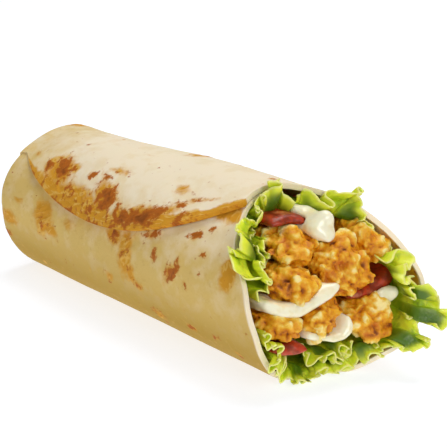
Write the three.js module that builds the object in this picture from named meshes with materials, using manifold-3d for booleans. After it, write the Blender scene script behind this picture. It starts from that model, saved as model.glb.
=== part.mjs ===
// A fried chicken wrap: a flour tortilla rolled round strips of fried chicken, tomato, lettuce and
// white sauce. Millimetres, +Z up. The roll lies along X, closed at -X and open at +X, and rests on
// the flattened underside of the tortilla. Angles go round the roll: 0 is the far side (+Y), 90 the
// top, 180 the near side (-Y) and -90 the bottom.
import * as THREE from 'three';
import Module from 'manifold-3d';

const wasm = await Module();
wasm.setup();

// ---- driving dimensions ----
const roll = {
  closedWidth: 58,      // across the roll at its closed end
  closedHeight: 57.1,
  mouthWidth: 66,       // and 170 mm further on, at the mouth
  mouthHeight: 65.7,
  taperLength: 170,
  settle: 2.2,          // how far the underside is pressed flat
  closedX: -5.5,        // the closed end
  shoulder: 8,          // radius where the wall turns into the closed end
};
const sheet = {
  thickness: 1.9,
  gap: 0.5,             // between the flap and the layer under it
  tuckAngle: -262,      // the inner edge, hidden under the flap
  shoulderAngle: 129,   // where the flap's edge runs over the shoulder of the closed end
  turnSteps: 32,
  flapSteps: 6,
  tuckSteps: 3,
};
const flap = { tipAngle: 161.5, tipX: 60, radius: 100 };    // the free edge is an arc of the round tortilla
const mouth = {
  x: 146,               // where the slanted rim crosses the axis
  lean: 0.23,           // the rim runs further out on the far side
  slope: 0.426,         // and further in towards the top
  ovality: 8.5,
  tuck: 7,              // how far the lower lip is drawn back
  tuckAngle: -105,
  z: 31,
  referenceX: 150,
};
const fold = { slitHalf: 11, slitGap: 0.5, slitTilt: 0.35, dish: 3, pleat: 0.7, pleats: 5 };
const lump = { size: 0.45, along: 22 };
const clearance = 0.35; // between pieces that press on each other

const colour = {
  tortilla: 0xe6d3ad, chicken: 0xd08a3a, lettuce: 0x8fbf3a, tomato: 0xc23a22, sauce: 0xf4f1e6,
};

const radians = THREE.MathUtils.degToRad;
const lerp = THREE.MathUtils.lerp;
const smooth = THREE.MathUtils.smoothstep;
const vec = (x, y, z) => new THREE.Vector3(x, y, z);

// ---- seeded lattice noise, -1 to 1 ----
function lattice(i, j, k) {
  const h = Math.sin(i * 127.1 + j * 311.7 + k * 74.7) * 43758.5453;
  return 2 * (h - Math.floor(h)) - 1;
}

function noise(x, y, z) {
  const cell = [x, y, z].map(Math.floor);
  const part = [x, y, z].map((value, axis) => smooth(value - cell[axis], 0, 1));
  const corner = (dx, dy, dz) => lattice(cell[0] + dx, cell[1] + dy, cell[2] + dz);
  const edge = (dy, dz) => lerp(corner(0, dy, dz), corner(1, dy, dz), part[0]);
  return lerp(lerp(edge(0, 0), edge(1, 0), part[1]), lerp(edge(0, 1), edge(1, 1), part[1]), part[2]);
}

// ---- the roll's own shape ----
const halfWidth = (x) => lerp(roll.closedWidth, roll.mouthWidth, x / roll.taperLength) / 2;
const halfHeight = (x) => lerp(roll.closedHeight, roll.mouthHeight, x / roll.taperLength) / 2;
const axisHeight = (x) => halfHeight(x) - roll.settle;
const lift = (angle) => (sheet.thickness + sheet.gap) * angle / 360;    // the spiral of the rolled sheet

function wallPoint(x, angle, out) {
  const a = radians(angle);
  const waves = Math.sin(3 * a + x / lump.along) + 0.7 * Math.sin(5 * a - 1.5 * x / lump.along + 1);
  const free = 1 - 0.8 * Math.max(0, -Math.sin(a));    // the underside has few lumps
  const outward = out + lump.size * waves * free;
  const z = axisHeight(x) + (halfHeight(x) + outward) * Math.sin(a);
  return vec(x, (halfWidth(x) + outward) * Math.cos(a), Math.max(z, Math.max(0, -out - 1.2)));
}

// The slanted rim of the mouth.
function rimX(angle) {
  const a = radians(angle);
  const aside = mouth.lean * roll.mouthWidth / 2 * Math.cos(a);
  const rise = mouth.slope * roll.mouthHeight / 2 * Math.sin(a);
  const drawn = mouth.tuck * Math.max(0, Math.cos(a - radians(mouth.tuckAngle))) ** 4;
  const uneven = 0.6 * Math.sin(7 * a) + 0.4 * Math.sin(11 * a + 2);
  return mouth.x + aside - rise + mouth.ovality * Math.cos(2 * a) - drawn + uneven;
}

// The closed end, from the pinched slit in the middle (share 0) out to the wall (share 1).
function endPoint(share, angle) {
  const x = roll.closedX + roll.shoulder;
  const a = radians(angle);
  const rim = wallPoint(x, angle, 0);
  const turnStart = 1 - roll.shoulder / halfHeight(x);
  const q = Math.max(0, (share - turnStart) / (1 - turnStart));
  const fall = Math.sqrt(1 - q * q);
  const out = vec(-fall, q * Math.cos(a), q * Math.sin(a)).multiplyScalar(lift(angle));
  const slitAngle = a - fold.slitTilt;
  const along = fold.slitHalf * Math.cos(slitAngle);
  const aside = fold.slitGap * Math.sin(slitAngle);
  const slitY = along * Math.cos(fold.slitTilt) - aside * Math.sin(fold.slitTilt);
  const slitZ = along * Math.sin(fold.slitTilt) + aside * Math.cos(fold.slitTilt);
  const inward = Math.max(0, 1 - share / turnStart);
  const pleat = fold.pleat * Math.sin(fold.pleats * a) * Math.sin(Math.PI * share) * fall;
  const deep = roll.shoulder * (1 - fall) + fold.dish * inward * inward + pleat;
  const y = lerp(slitY, rim.y, share);
  const z = lerp(axisHeight(x) + slitZ, rim.z, share);
  return vec(roll.closedX + deep, y, z).add(out);
}

// ---- building solids ----
function geometryOf(points, triangles) {
  const geometry = new THREE.BufferGeometry();
  const numbers = points.flatMap((p) => [p.x, p.y, p.z]);
  geometry.setAttribute('position', new THREE.Float32BufferAttribute(numbers, 3));
  geometry.setIndex(triangles.flat());
  return geometry;
}

function vertexNormals(points, triangles) {
  const normals = points.map(() => vec(0, 0, 0));
  for (const [a, b, c] of triangles) {
    const side = points[b].clone().sub(points[a]);
    const face = side.cross(points[c].clone().sub(points[a]));
    normals[a].add(face);
    normals[b].add(face);
    normals[c].add(face);
  }
  return normals.map((normal) => normal.normalize());
}

// A grid of points (null where there is none) thickened into one closed sheet: the points move out
// and in along their normals, and walls close the free edges.
function sheetSolid(grid, outward, inward) {
  const points = [];
  const index = grid.map((column) => column.map((point) => (point ? points.push(point) - 1 : -1)));
  const faces = [];
  for (let i = 0; i + 1 < grid.length; i += 1) {
    for (let j = 0; j + 1 < grid[i].length; j += 1) {
      const corners = [index[i][j], index[i + 1][j], index[i + 1][j + 1], index[i][j + 1]];
      if (Math.min(...corners) < 0) continue;
      const [a, b, c, d] = corners;
      faces.push([a, c, b], [a, d, c]);
    }
  }
  const normals = vertexNormals(points, faces);
  const count = points.length;
  const moved = (distance) => points.map((point, n) => point.clone().addScaledVector(normals[n], distance));
  const triangles = [...faces, ...faces.map(([a, b, c]) => [a + count, c + count, b + count])];
  const edges = new Set(faces.flatMap(([a, b, c]) => [`${a},${b}`, `${b},${c}`, `${c},${a}`]));
  for (const edge of edges) {
    const [a, b] = edge.split(',').map(Number);
    if (edges.has(`${b},${a}`)) continue;
    triangles.push([b, a, a + count], [b, a + count, b + count]);
  }
  return geometryOf([...moved(outward), ...moved(-inward)], triangles);
}

// Rings of equal length joined one after another, closed by a point at each end.
function loftSolid(rings, firstTip, lastTip) {
  const sides = rings[0].length;
  const points = [...rings.flat(), firstTip, lastTip];
  const triangles = [];
  for (let side = 0; side < sides; side += 1) {
    const next = (side + 1) % sides;
    const last = (rings.length - 1) * sides;
    triangles.push([points.length - 2, side, next], [points.length - 1, last + next, last + side]);
    for (let ring = 0; ring + 1 < rings.length; ring += 1) {
      const here = ring * sides;
      triangles.push([here + side, here + sides + side, here + next]);
      triangles.push([here + next, here + sides + side, here + sides + next]);
    }
  }
  return geometryOf(points, triangles);
}

function solidOf(geometry) {
  const position = geometry.getAttribute('position');
  const triVerts = new Uint32Array(geometry.getIndex().array);
  return new wasm.Manifold(new wasm.Mesh({ numProp: 3, vertProperties: position.array, triVerts }));
}

function largestPart(solid) {
  const parts = solid.decompose();
  return parts.reduce((best, part) => (part.volume() > best.volume() ? part : best));
}

function cutBy(geometry, cutters) {
  let solid = solidOf(geometry);
  for (const cutter of cutters) solid = solid.subtract(cutter);
  const mesh = largestPart(solid).getMesh();
  const result = new THREE.BufferGeometry();
  result.setAttribute('position', new THREE.Float32BufferAttribute(mesh.vertProperties, 3));
  result.setIndex(Array.from(mesh.triVerts));
  return result;
}

// The same solid with its skin moved out, used to cut room for it out of its neighbours.
function grown(geometry, distance) {
  const position = geometry.getAttribute('position');
  const list = geometry.getIndex().array;
  const points = [];
  for (let n = 0; n < position.count; n += 1) {
    points.push(new THREE.Vector3().fromBufferAttribute(position, n));
  }
  const triangles = [];
  for (let n = 0; n < list.length; n += 3) triangles.push([list[n], list[n + 1], list[n + 2]]);
  const normals = vertexNormals(points, triangles);
  const moved = points.map((point, n) => point.clone().addScaledVector(normals[n], distance));
  return solidOf(geometryOf(moved, triangles)).add(solidOf(geometryOf(points, triangles)));
}

// ---- tortilla ----
function flapReach(angle) {
  const down = radians(flap.tipAngle - angle) * (halfWidth(flap.tipX) + halfHeight(flap.tipX)) / 2;
  return Math.sqrt(Math.max(0, 2 * flap.radius * down - down * down));
}

function tortillaGeometry() {
  const endShares = [0, 0.3, 0.6, 0.8, 0.93];
  const wallShares = [0, 0.14, 0.28, 0.42, 0.56, 0.7, 0.82, 0.92, 1];
  const wallStart = roll.closedX + roll.shoulder;
  const angles = [];
  const flapSpan = flap.tipAngle - sheet.shoulderAngle;
  for (let n = 0; n < sheet.flapSteps; n += 1) {
    angles.push(flap.tipAngle - flapSpan * Math.max(0.001, (n / sheet.flapSteps) ** 2));
  }
  for (let n = 0; n <= sheet.turnSteps; n += 1) angles.push(sheet.shoulderAngle - 360 * n / sheet.turnSteps);
  const lastTurn = sheet.shoulderAngle - 360;
  for (let n = 1; n <= sheet.tuckSteps; n += 1) {
    angles.push(lerp(lastTurn, sheet.tuckAngle, n / sheet.tuckSteps));
  }
  const grid = angles.map((angle) => {
    const closed = angle <= sheet.shoulderAngle + 0.01 && angle >= lastTurn - 0.01;
    const reach = flapReach(angle);
    const back = Math.max(wallStart, flap.tipX - reach);
    const front = angle > 90 ? Math.min(rimX(angle), flap.tipX + reach) : rimX(angle);
    const end = endShares.map((share) => (closed ? endPoint(share, angle) : null));
    const wall = wallShares.map((share) => wallPoint(lerp(back, front, share), angle, lift(angle)));
    return [...end, ...wall];
  });
  return sheetSolid(grid, 0, sheet.thickness);
}

// ---- fillings: drawn as seen from the mouth (y across, z up), then carried back along the roll ----
const mouthPlane = (y, z) => mouth.x + mouth.lean * y - mouth.slope * (z - mouth.z);

function carried(y, z, back, out) {
  const x = mouthPlane(y, z) + out - back;
  const wide = halfWidth(x) / halfWidth(mouth.referenceX);
  const tall = halfHeight(x) / halfHeight(mouth.referenceX);
  return vec(x, y * wide, axisHeight(x) + (z - axisHeight(mouth.referenceX)) * tall);
}

const chickenStrips = [
  { name: 'chicken_centre', y: 7.9, z: 38.7, across: 12, tall: 9.4, tilt: -10, out: 9, length: 116 },
  { name: 'chicken_far_top', y: 19.4, z: 42.2, across: 6.8, tall: 6, tilt: -40, out: 6, length: 104 },
  { name: 'chicken_near_top', y: -4.6, z: 44.6, across: 8.4, tall: 6.4, tilt: 5, out: 6, length: 98 },
  { name: 'chicken_near', y: -9.6, z: 34.6, across: 8.6, tall: 6.8, tilt: -12, out: 9, length: 110 },
  { name: 'chicken_low_near', y: -17.4, z: 23.4, across: 7.6, tall: 5.6, tilt: -4, out: 7, length: 108 },
  { name: 'chicken_low_middle', y: -3.8, z: 25.8, across: 9.6, tall: 5.8, tilt: 32, out: 8, length: 118 },
  { name: 'chicken_low_far', y: 14.6, z: 21, across: 9.8, tall: 6.8, tilt: -6, out: 7, length: 112 },
];
const crust = {
  sides: 12, dome: 5, coarse: 2.3, coarseCell: 6, fine: 1.1, fineCell: 3.3, front: 1.6, frontCell: 4,
  ringBacks: [0.3, 1.4, 3.4, 6, 9.5, 15, 23, 34, 50, 70],
  endBacks: [9, 3, 0.4],    // from the strip's inner end
};

// How far a strip may reach from its middle before it meets the next strip.
function roomTowards(strip, dy, dz) {
  let room = Infinity;
  for (const other of chickenStrips) {
    if (other === strip) continue;
    const gapY = other.y - strip.y;
    const gapZ = other.z - strip.z;
    const apart = Math.hypot(gapY, gapZ);
    const facing = dy * gapY + dz * gapZ;
    if (facing <= 0) continue;
    const sizes = strip.across * strip.tall - other.across * other.tall;
    room = Math.min(room, ((apart * apart + sizes) / 2 - clearance * apart) / facing);
  }
  return room;
}

function chickenGeometry(strip, order) {
  const backs = [...crust.ringBacks, ...crust.endBacks.map((back) => strip.length - back)];
  const tilt = radians(strip.tilt);
  const rings = backs.map((back) => {
    const fore = Math.min(1, back / crust.dome);
    const rear = Math.min(1, (strip.length - back) / crust.dome);
    const dome = Math.sqrt(1 - (1 - fore) ** 2) * Math.sqrt(1 - (1 - rear) ** 2);
    const ring = [];
    for (let side = 0; side < crust.sides; side += 1) {
      const turn = 2 * Math.PI * side / crust.sides;
      const local = strip.across * strip.tall / Math.hypot(
        strip.tall * Math.cos(turn - tilt),
        strip.across * Math.sin(turn - tilt),
      );
      const dy = Math.cos(turn);
      const dz = Math.sin(turn);
      const seedX = back + 37 * order;
      const bumps = (cell, shift) => noise(seedX / cell, local * dy / cell, local * dz / cell + shift);
      const coarse = bumps(crust.coarseCell, 0);
      const fine = bumps(crust.fineCell, 9);
      const reach = Math.min(roomTowards(strip, dy, dz), local + crust.coarse * coarse + crust.fine * fine);
      const y = strip.y + reach * dome * dy;
      const z = strip.z + reach * dome * dz;
      const front = crust.front * (1 - smooth(back, 3, 12));
      const craggy = front * noise(y / crust.frontCell, z / crust.frontCell, 5 + order);
      ring.push(carried(y, z, back, strip.out + craggy));
    }
    return ring;
  });
  const tip = (back) => carried(strip.y, strip.z, back, strip.out);
  return loftSolid(rings, tip(0), tip(strip.length));
}

// A filling whose section is a bent band: its middle line, thickness along it, and how deep it goes.
const bands = [
  {
    name: 'tomato_top', kind: 'tomato', out: 0, length: 96, thick: [2.6, 3.8, 3.8, 2.6],
    line: [[-10, 52.8], [-5.4, 53.6], [-0.8, 53.2], [3.4, 52]],
  },
  {
    name: 'tomato_far', kind: 'tomato', out: 4, length: 104, thick: [3, 4.6, 4.8, 4.6, 3],
    line: [[26, 34.8], [24.2, 31.4], [19.8, 29.5], [13.8, 28.6], [7.2, 28.4]],
  },
  {
    name: 'tomato_low', kind: 'tomato', out: 4, length: 100, thick: [3, 5, 5.2, 3],
    line: [[-23, 16.8], [-19.4, 16.6], [-15.6, 16.2], [-11.4, 15.4]],
  },
  {
    name: 'sauce_top', kind: 'sauce', out: 7, length: 46, thick: [2.8, 6.4, 8.6, 5],
    line: [[7, 55], [5.6, 53], [4.3, 50.4], [3, 47.2]],
  },
  {
    name: 'sauce_middle', kind: 'sauce', out: 8.5, length: 46, thick: [3, 4.4, 4, 4.6, 5.2, 3.4],
    line: [[-24.6, 33], [-21, 30.4], [-15.4, 28.8], [-8.8, 30.2], [-3, 32.2], [2, 34]],
  },
  {
    name: 'sauce_far', kind: 'sauce', out: 6, length: 46, thick: [3, 5.5, 3],
    line: [[17, 27], [20.6, 26.8], [24.2, 28.4]],
  },
  {
    name: 'sauce_low', kind: 'sauce', out: 7, length: 50, thick: [2.4, 3.4, 3.6, 3.6, 2.6],
    line: [[-12, 20.2], [-7, 19.2], [-1.5, 18], [2.6, 20], [3.6, 23.4]],
  },
];
const bandPoints = 8;

function bandGeometry(band) {
  const curve = new THREE.CatmullRomCurve3(band.line.map(([y, z]) => vec(0, y, z)), false, 'centripetal');
  const widths = band.thick.map((value, n) => vec(n, value, 0));
  const profile = new THREE.CatmullRomCurve3(widths, false, 'centripetal');
  const backs = [0, 0.7, 2, 4.5, 12, 26, band.length];
  const roundness = [0.3, 0.68, 0.92, 1, 1, 1, 0.9];
  const loops = backs.map((back, row) => {
    const left = [];
    const right = [];
    for (let n = 0; n < bandPoints; n += 1) {
      const share = n / (bandPoints - 1);
      const middle = curve.getPoint(share);
      const tangent = curve.getTangent(share);
      const ends = n === 0 || n === bandPoints - 1 ? 0.55 : 1;
      const half = profile.getPoint(share).y / 2 * roundness[row] * ends;
      const wobble = 0.25 * Math.sin(1.3 * n + back / 7);
      left.push(carried(middle.y - half * tangent.z, middle.z + half * tangent.y, back, band.out + wobble));
      right.push(carried(middle.y + half * tangent.z, middle.z - half * tangent.y, back, band.out + wobble));
    }
    return [...left, ...right.reverse()];
  });
  const sides = 2 * bandPoints;
  const triangles = [];
  for (let row = 0; row + 1 < loops.length; row += 1) {
    for (let side = 0; side < sides; side += 1) {
      const next = (side + 1) % sides;
      const here = row * sides;
      const deeper = here + sides;
      triangles.push([here + side, here + next, deeper + side], [here + next, deeper + next, deeper + side]);
    }
  }
  const last = (loops.length - 1) * sides;
  for (let n = 0; n + 1 < bandPoints; n += 1) {
    const far = sides - 1 - n;
    triangles.push([n, far, n + 1], [n + 1, far, far - 1]);
    triangles.push([last + n, last + n + 1, last + far], [last + n + 1, last + far - 1, last + far]);
  }
  return geometryOf(loops.flat(), triangles);
}

// ---- lettuce: leaves that line the roll, one inside another, with frilled edges at the mouth ----
// Each spans two angles, lies a level inside the wall, and goes so far past the rim, where it rolls
// over outward (a positive angle) or leans inward.
const leaves = [
  { name: 'lettuce_near_rim', from: 124, to: 159, level: 0, past: 12.5, roll: 122 },
  { name: 'lettuce_near_top', from: 80, to: 121, level: 0.3, past: 10, roll: 88 },
  { name: 'lettuce_near', from: 120, to: 174, level: 2.8, past: 7, roll: -12 },
  { name: 'lettuce_near_fold', from: 110, to: 146, level: 6, past: 8, roll: -20 },
  { name: 'lettuce_top', from: 45, to: 79, level: 0.6, past: 12.5, roll: 44 },
  { name: 'lettuce_far_top', from: 16, to: 50, level: -1.2, past: -0.5, roll: -40 },
  { name: 'lettuce_far', from: -8, to: 28, level: 2.6, past: 5.5, roll: 12 },
  { name: 'lettuce_far_low', from: -27, to: -1, level: 0, past: 12, roll: 42 },
  { name: 'lettuce_far_curl', from: -54, to: -20, level: 1.4, past: 8.5, roll: 42 },
  { name: 'lettuce_bottom_far', from: -88, to: -50, level: 3.2, past: 6.5, roll: 20 },
  { name: 'lettuce_bottom', from: -126, to: -72, level: 0, past: 8, roll: 32 },
  { name: 'lettuce_bottom_fold', from: -114, to: -66, level: 6, past: 9, roll: 0 },
  { name: 'lettuce_near_low', from: -168, to: -129, level: 0, past: 5.5, roll: 24 },
];
const leaf = {
  thickness: 0.8,
  wallGap: 0.4,
  deepGap: 0.8,
  deepLevel: 0.62,      // inner leaves lie closer to the wall deep in the roll
  deep: [-40, -12],     // over these distances from the rim, as are the next two
  waving: [-9, 6],      // where the waves grow
  free: [1.5, 5.5],     // where they may reach past the wall
  rollStart: 1,
  rollRadius: 3.6,
  rootX: 22,
  hidden: 6,            // the sides of a leaf end this far behind the rim
  columnAngle: 4.05,
  rowLength: 3.5,
  frill: 2.6,           // the leaf waves this far to both sides of its middle
  waves: 20,            // in a full turn
  drift: 1.4,           // how unevenly they are spaced
  curl: 0.6,            // how far a wave leans over its neighbour
  floor: 1.6,
};

// Where a leaf's middle layer lies, so far past the rim along the leaf.
function leafPoint(shape, turn, past) {
  const opening = smooth(past, ...leaf.waving);
  const phase = leaf.waves * radians(turn) + leaf.drift * Math.sin(4 * radians(turn));
  const lean = leaf.curl * opening * Math.sin(2 * phase) / (roll.mouthHeight / 2);
  const angle = turn - THREE.MathUtils.radToDeg(lean);
  const along = Math.max(past, -leaf.rootX);
  const uneven = 0.75 + 0.35 * Math.sin(5 * radians(angle) + 0.6);
  const wave = Math.sin(phase + 0.06 * along) - 1 + smooth(past, ...leaf.free);
  const frill = leaf.frill * uneven * opening * wave;

  const side = Math.sign(shape.roll);
  const most = radians(Math.abs(shape.roll));
  const beyond = Math.max(0, past - leaf.rollStart);
  const bend = Math.min(most, beyond / leaf.rollRadius);
  const straight = beyond - bend * leaf.rollRadius;
  const ahead = Math.min(past, leaf.rollStart) + leaf.rollRadius * Math.sin(bend) + straight * Math.cos(bend);
  const aside = side * (leaf.rollRadius * (1 - Math.cos(bend)) + straight * Math.sin(bend));

  const wall = sheet.thickness - lift(sheet.tuckAngle) + leaf.wallGap + leaf.thickness / 2;
  const shallow = smooth(past, ...leaf.deep);
  const inset = wall + leaf.deepGap * (1 - shallow) + shape.level * lerp(leaf.deepLevel, 1, shallow);
  const x = Math.max(leaf.rootX, rimX(angle) + ahead - side * frill * Math.sin(bend));
  const point = wallPoint(x, angle, aside + frill * Math.cos(bend) - inset);
  point.z = Math.max(point.z, leaf.floor);
  return point;
}

function leafGeometry(shape, order) {
  const columns = Math.round((shape.to - shape.from) / leaf.columnAngle);
  const outerRows = Math.max(2, Math.round(shape.past / leaf.rowLength));
  const grid = [];
  for (let n = 0; n <= columns; n += 1) {
    const share = n / columns;
    const angle = lerp(shape.to, shape.from, share);
    const rounded = Math.sqrt(Math.sin(Math.PI * (0.08 + 0.84 * share)));
    const lobes = 0.96 + 0.16 * Math.sin(9 * share + 2 * order);
    const edge = (shape.past + leaf.hidden) * rounded * lobes - leaf.hidden;
    const atRim = Math.min(0.5, edge - 3);
    const rows = [-Infinity, -15, Math.min(-5, edge - 6)];
    for (let row = 0; row <= outerRows; row += 1) rows.push(lerp(atRim, edge, row / outerRows));
    grid.push(rows.map((past) => leafPoint(shape, angle, past)));
  }
  return sheetSolid(grid, leaf.thickness / 2, leaf.thickness / 2);
}

// ---- assembly ----
const object = new THREE.Group();
object.name = 'fried_chicken_wrap';

function addPiece(name, geometry, kind, roughness) {
  const material = new THREE.MeshStandardMaterial({ color: colour[kind], roughness, metalness: 0 });
  const mesh = new THREE.Mesh(geometry, material);
  mesh.name = name;
  object.add(mesh);
}

addPiece('tortilla', tortillaGeometry(), 'tortilla', 0.85);

const cutters = [];
const fitted = (geometry) => {
  const result = cutters.length ? cutBy(geometry, cutters) : geometry;
  cutters.push(grown(geometry, clearance));
  return result;
};
for (const band of bands.filter((entry) => entry.kind === 'tomato')) {
  addPiece(band.name, fitted(bandGeometry(band)), 'tomato', 0.3);
}
const tomatoCutters = [...cutters];
chickenStrips.forEach((strip, order) => {
  const geometry = cutBy(chickenGeometry(strip, order), tomatoCutters);
  cutters.push(grown(geometry, clearance));
  addPiece(strip.name, geometry, 'chicken', 0.7);
});
for (const band of bands.filter((entry) => entry.kind === 'sauce')) {
  addPiece(band.name, fitted(bandGeometry(band)), 'sauce', 0.35);
}
leaves.forEach((shape, order) => {
  addPiece(shape.name, cutBy(leafGeometry(shape, order), cutters), 'lettuce', 0.5);
});

// The origin goes to the middle of the underside.
const extent = new THREE.Box3().setFromObject(object, true);
const middle = extent.getCenter(new THREE.Vector3());
object.position.set(-middle.x, -middle.y, -extent.min.z);
object.updateMatrixWorld(true);

export default object;
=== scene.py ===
# A fried chicken wrap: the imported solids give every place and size, and this script makes the looks.
# Shapes are worked out in millimetres in the roll's own frame: x runs from the closed end to the mouth,
# and an angle goes round the roll, 0 at the far side, 90 on top, 180 at the near side, -90 underneath.
import itertools
import math

import bmesh
import bpy
import numpy as np
from mathutils import Matrix, Vector


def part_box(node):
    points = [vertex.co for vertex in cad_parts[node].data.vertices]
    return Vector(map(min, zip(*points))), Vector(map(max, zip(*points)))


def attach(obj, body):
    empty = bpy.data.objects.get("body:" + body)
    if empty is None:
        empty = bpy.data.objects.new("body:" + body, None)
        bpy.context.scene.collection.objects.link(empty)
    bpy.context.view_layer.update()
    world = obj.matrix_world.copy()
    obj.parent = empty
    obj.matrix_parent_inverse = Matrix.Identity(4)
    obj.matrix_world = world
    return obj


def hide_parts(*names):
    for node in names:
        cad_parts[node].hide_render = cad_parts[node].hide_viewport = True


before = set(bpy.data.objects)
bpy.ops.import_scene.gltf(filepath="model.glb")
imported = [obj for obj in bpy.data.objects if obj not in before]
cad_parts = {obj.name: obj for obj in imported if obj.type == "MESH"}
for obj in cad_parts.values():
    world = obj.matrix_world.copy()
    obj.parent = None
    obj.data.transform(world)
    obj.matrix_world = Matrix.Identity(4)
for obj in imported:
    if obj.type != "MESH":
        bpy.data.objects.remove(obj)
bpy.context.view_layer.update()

mm = 0.001


def tint(red, green, blue):    # a colour as read off a screen, 0 to 255, for a shader
    linear = [(v / 255 / 12.92) if v < 11 else ((v / 255 + 0.055) / 1.055) ** 2.4 for v in (red, green, blue)]
    return (*linear, 1.0)


# Where the photograph was taken from.
camera = {
    "azimuth": 49.585,          # round the wrap from the near side, degrees
    "elevation": 19.532,
    "distance": 568.8,
    "target": (85, 0, 30),      # in the roll's frame
    "slide": (8.727, 6.848),    # right and up, parallel to the picture
    "lens": 128.86,
    "sensor": 36,
    "clip": (0.01, 20),         # metres
}

# The roll's shape, with the same named sizes as the solids, which don't press the flap down.
roll = {
    "closedWidth": 58, "closedHeight": 57.1, "mouthWidth": 66, "mouthHeight": 65.7, "taperLength": 170,
    "settle": 2.2, "closedX": -5.5, "shoulder": 8,
}
sheet = {"thickness": 1.9, "gap": 0.5, "tuckAngle": -262, "shoulderAngle": 129}
flap = {
    "tipAngle": 161.5, "tipX": 60, "radius": 100,    # the free edge is an arc of the round tortilla
    "pressed": 1.7,                                  # down onto the layer under it, by the closed end
    "pressedAlong": (20, 4), "pressedRound": (60, 118),
}
mouth = {
    "x": 146, "lean": 0.23, "slope": 0.426,    # the rim runs out on the far side, and in towards the top
    "ovality": 8.5, "tuck": 7, "tuckAngle": -105,
}
fold = {"slitHalf": 11, "slitGap": 0.5, "slitTilt": 0.35, "dish": 3, "pleat": 0.7, "pleats": 5}
lump = {"size": 0.45, "along": 22}


def smooth(value, low, high):    # a soft step, 0 at low to 1 at high
    t = np.clip((value - low) / (high - low), 0, 1)
    return t * t * (3 - 2 * t)


def halfWidth(x):
    return (roll["closedWidth"] + (roll["mouthWidth"] - roll["closedWidth"]) * x / roll["taperLength"]) / 2


def halfHeight(x):
    return (roll["closedHeight"] + (roll["mouthHeight"] - roll["closedHeight"]) * x / roll["taperLength"]) / 2


def axisHeight(x):
    return halfHeight(x) - roll["settle"]


def lift(angle):    # the spiral of the rolled sheet
    return (sheet["thickness"] + sheet["gap"]) * angle / 360


def wallPoint(x, angle, out):    # on the slightly lumpy wall of the roll, or so far out from it
    a = np.radians(angle)
    waves = np.sin(3 * a + x / lump["along"]) + 0.7 * np.sin(5 * a - 1.5 * x / lump["along"] + 1)
    free = 1 - 0.8 * np.maximum(0, -np.sin(a))
    outward = out + lump["size"] * waves * free
    z = axisHeight(x) + (halfHeight(x) + outward) * np.sin(a)
    floorZ = np.maximum(0, -out - 1.2)
    return np.stack([x + 0 * a, (halfWidth(x) + outward) * np.cos(a), np.maximum(z, floorZ)], -1)


def rimX(angle):    # where the slanted rim of the mouth lies
    a = np.radians(angle)
    aside = mouth["lean"] * roll["mouthWidth"] / 2 * np.cos(a)
    rise = mouth["slope"] * roll["mouthHeight"] / 2 * np.sin(a)
    drawn = mouth["tuck"] * np.maximum(0, np.cos(a - math.radians(mouth["tuckAngle"]))) ** 4
    uneven = 0.6 * np.sin(7 * a) + 0.4 * np.sin(11 * a + 2)
    return mouth["x"] + (aside - rise) + mouth["ovality"] * np.cos(2 * a) - drawn + uneven


def flapPressed(x, angle):    # by the closed end the flap lies down on the layer under it
    return flap["pressed"] * smooth(x, *flap["pressedAlong"]) * smooth(angle, *flap["pressedRound"])


def endPoint(share, angle):    # the closed end, from the pinch in its middle (share 0) to the wall (share 1)
    x = roll["closedX"] + roll["shoulder"]
    a = np.radians(angle)
    rim = wallPoint(x, angle, 0)
    turnStart = 1 - roll["shoulder"] / halfHeight(x)
    q = np.maximum(0, (share - turnStart) / (1 - turnStart))
    fall = np.sqrt(1 - q * q)
    slitAngle = a - fold["slitTilt"]
    along = fold["slitHalf"] * np.cos(slitAngle)
    aside = fold["slitGap"] * np.sin(slitAngle)
    slitY = along * math.cos(fold["slitTilt"]) - aside * math.sin(fold["slitTilt"])
    slitZ = along * math.sin(fold["slitTilt"]) + aside * math.cos(fold["slitTilt"])
    inward = np.maximum(0, 1 - share / turnStart)
    pleat = fold["pleat"] * np.sin(fold["pleats"] * a) * np.sin(math.pi * share) * fall
    deep = roll["shoulder"] * (1 - fall) + fold["dish"] * inward * inward + pleat
    y = slitY + (rim[..., 1] - slitY) * share
    z = axisHeight(x) + slitZ + (rim[..., 2] - axisHeight(x) - slitZ) * share
    out = lift(angle) - flapPressed(roll["closedX"], angle)
    x = roll["closedX"] + deep - fall * out
    return np.stack([x, y + q * np.cos(a) * out, z + q * np.sin(a) * out], -1)


def flapReach(angle):    # how far the flap's edge lies from its tip, along the roll
    down = np.radians(flap["tipAngle"] - angle) * (halfWidth(flap["tipX"]) + halfHeight(flap["tipX"])) / 2
    return np.sqrt(np.maximum(0, 2 * flap["radius"] * down - down * down))


# Repeatable noise, so that every run gives the same crags. Each cell of a lattice gets its own number,
# 0 to 1, by mixing its place with large primes.
def hashed(cells, seed):
    n = cells.astype(np.int64)
    mixed = (n[..., 0] * 73856093) ^ (n[..., 1] * 19349663) ^ (n[..., 2] * 83492791) ^ (seed * 40503 + 977)
    mixed = ((mixed ^ (mixed >> 13)) * 1274126177) & 0xFFFFFFFF
    mixed = ((mixed ^ (mixed >> 15)) * 668265263) & 0xFFFFFFFF
    return ((mixed ^ (mixed >> 16)) & 0xFFFF) / 0xFFFF


def softNoise(points, size, seed):    # -1 to 1, smooth over about size
    p = points / size
    cell = np.floor(p)
    part = p - cell
    part = part * part * (3 - 2 * part)
    total = np.zeros(p.shape[:-1])
    for corner in itertools.product((0, 1), repeat=3):
        weight = 1
        for axis, there in enumerate(corner):
            weight = weight * (part[..., axis] if there else 1 - part[..., axis])
        total += weight * hashed(cell + corner, seed)
    return 2 * total - 1


def layeredNoise(points, size, seed, octaves):
    total, most = 0, 0
    for octave in range(octaves):    # each layer is half the size and a little weaker
        share = 0.55 ** octave
        total = total + share * softNoise(points, size * 0.5 ** octave, seed + 17 * octave)
        most += share
    return total / most


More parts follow.
